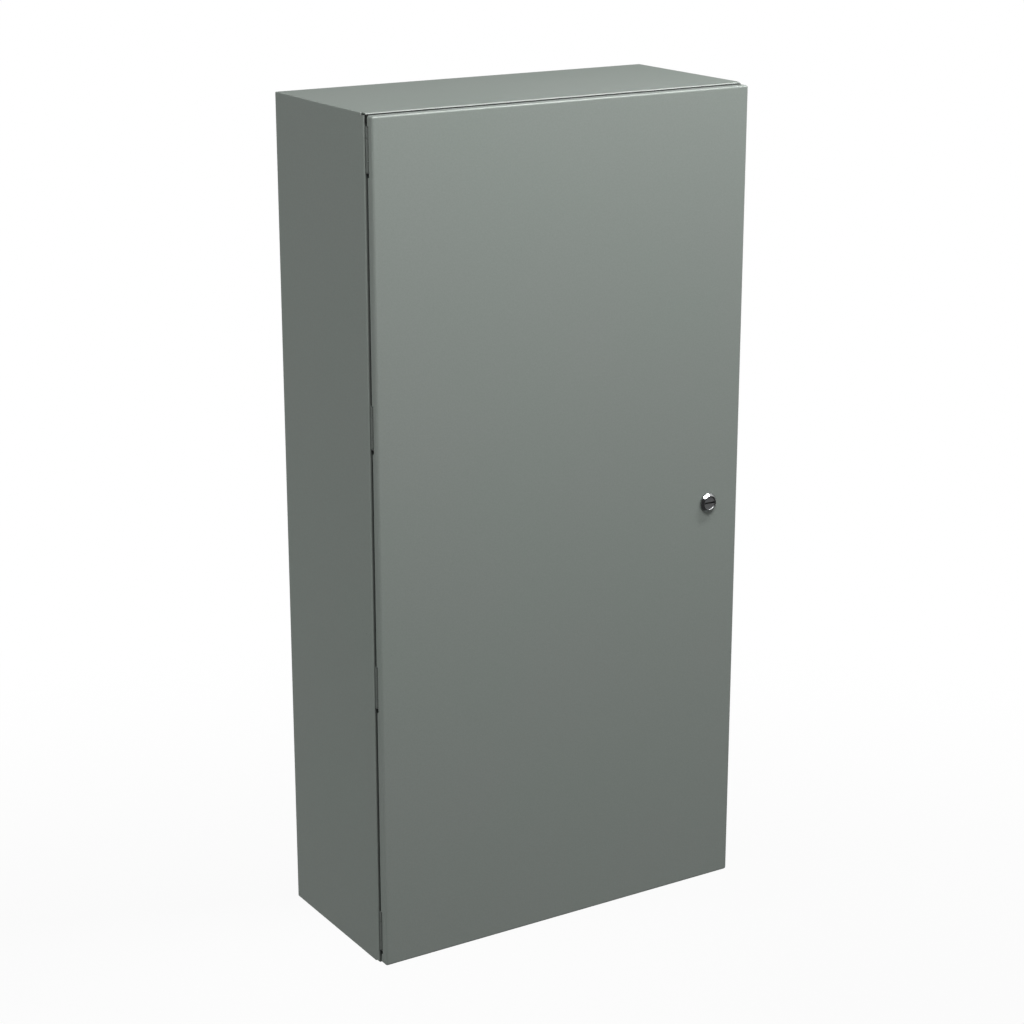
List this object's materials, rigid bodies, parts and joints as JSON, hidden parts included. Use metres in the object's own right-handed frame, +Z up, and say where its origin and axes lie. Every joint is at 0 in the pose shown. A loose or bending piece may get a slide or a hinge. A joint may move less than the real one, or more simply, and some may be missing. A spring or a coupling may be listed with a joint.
{
  "type": "wall-mounted electrical enclosure",
  "caption": "Tall sheet-steel wall enclosure with an overlay hinged door, a slotted quarter-turn latch with a rod linkage, a foam door seal and an inner mounting panel.",
  "frame": {"origin": "middle of the back face that lies on the wall, at the centre of the four wall holes", "axes": "+Z up along the enclosure's height, +X to the right seen from the front, +Y into the wall, so the door faces -Y"},
  "size_m": [0.61, 0.2813, 1.22],
  "materials": {
    "grey_powder_coat": "semi-gloss grey powder coat with a fine even orange peel",
    "hinge_steel": "dark grey coat on the hinge leaves, a shade deeper than the sheet",
    "panel_enamel": "white semi-gloss enamel on the mounting panel",
    "zinc_plated_steel": "bright zinc plating with faint drawing lines",
    "latch_chrome": "polished chrome plating on zinc die-casting",
    "black_foam": "matt closed-cell foam with a soft skin",
    "black_rubber": "matt black seal rubber",
    "black_nylon": "moulded black nylon with a fine grain"
  },
  "bodies": {
    "enclosure": {"enclosure_body": "grey_powder_coat", "hinge_1_body_leaf": "hinge_steel", "hinge_2_body_leaf": "hinge_steel", "hinge_3_body_leaf": "hinge_steel", "hinge_4_body_leaf": "hinge_steel", "panel_studs": "zinc_plated_steel", "mounting_panel": "panel_enamel", "panel_washers": "zinc_plated_steel", "panel_nuts": "zinc_plated_steel", "body_ground_stud": "zinc_plated_steel", "body_ground_washer": "zinc_plated_steel", "body_ground_nut": "zinc_plated_steel"},
    "door": {"door_panel": "grey_powder_coat", "door_gasket": "black_foam", "left_stiffener": "grey_powder_coat", "right_stiffener": "grey_powder_coat", "hinge_1_door_leaf": "hinge_steel", "hinge_2_door_leaf": "hinge_steel", "hinge_3_door_leaf": "hinge_steel", "hinge_4_door_leaf": "hinge_steel", "hinge_1_pin": "zinc_plated_steel", "hinge_2_pin": "zinc_plated_steel", "hinge_3_pin": "zinc_plated_steel", "hinge_4_pin": "zinc_plated_steel", "latch_housing": "latch_chrome", "latch_seal": "black_rubber", "latch_nut": "zinc_plated_steel", "upper_rod_guide": "black_nylon", "lower_rod_guide": "black_nylon", "guide_studs": "zinc_plated_steel", "guide_nuts": "zinc_plated_steel", "door_ground_stud": "zinc_plated_steel", "door_ground_washer": "zinc_plated_steel", "door_ground_nut": "zinc_plated_steel"},
    "latch": {"latch_spindle": "latch_chrome", "spindle_oring": "black_rubber", "latch_cam": "zinc_plated_steel", "cam_rivets": "zinc_plated_steel", "cam_washer": "zinc_plated_steel", "cam_screw": "zinc_plated_steel"},
    "upper_rod": {"upper_latch_rod": "zinc_plated_steel"},
    "lower_rod": {"lower_latch_rod": "zinc_plated_steel"}
  },
  "joints": [
    {"name": "door_hinge", "type": "hinge", "parent": "enclosure", "child": "door", "pos_m": [-0.30125, -0.2603, 0], "axis": [0, 0, -1], "range_deg": [0, 120]},
    {"name": "latch_turn", "type": "hinge", "parent": "door", "child": "latch", "pos_m": [0.2495, -0.2753, 0], "axis": [0, 1, 0], "range_deg": [0, 90]},
    {"name": "upper_rod_slide", "type": "slide", "parent": "door", "child": "upper_rod", "axis": [0, 0, 1], "range_m": [0, 0.02262]},
    {"name": "lower_rod_slide", "type": "slide", "parent": "door", "child": "lower_rod", "axis": [0, 0, -1], "range_m": [0, 0.023]}
  ],
  "couplings": [
    {"joint": "latch_turn", "follows": "upper_rod_slide", "rad_per_m": 69.42},
    {"joint": "lower_rod_slide", "follows": "upper_rod_slide", "ratio": 1}
  ]
}
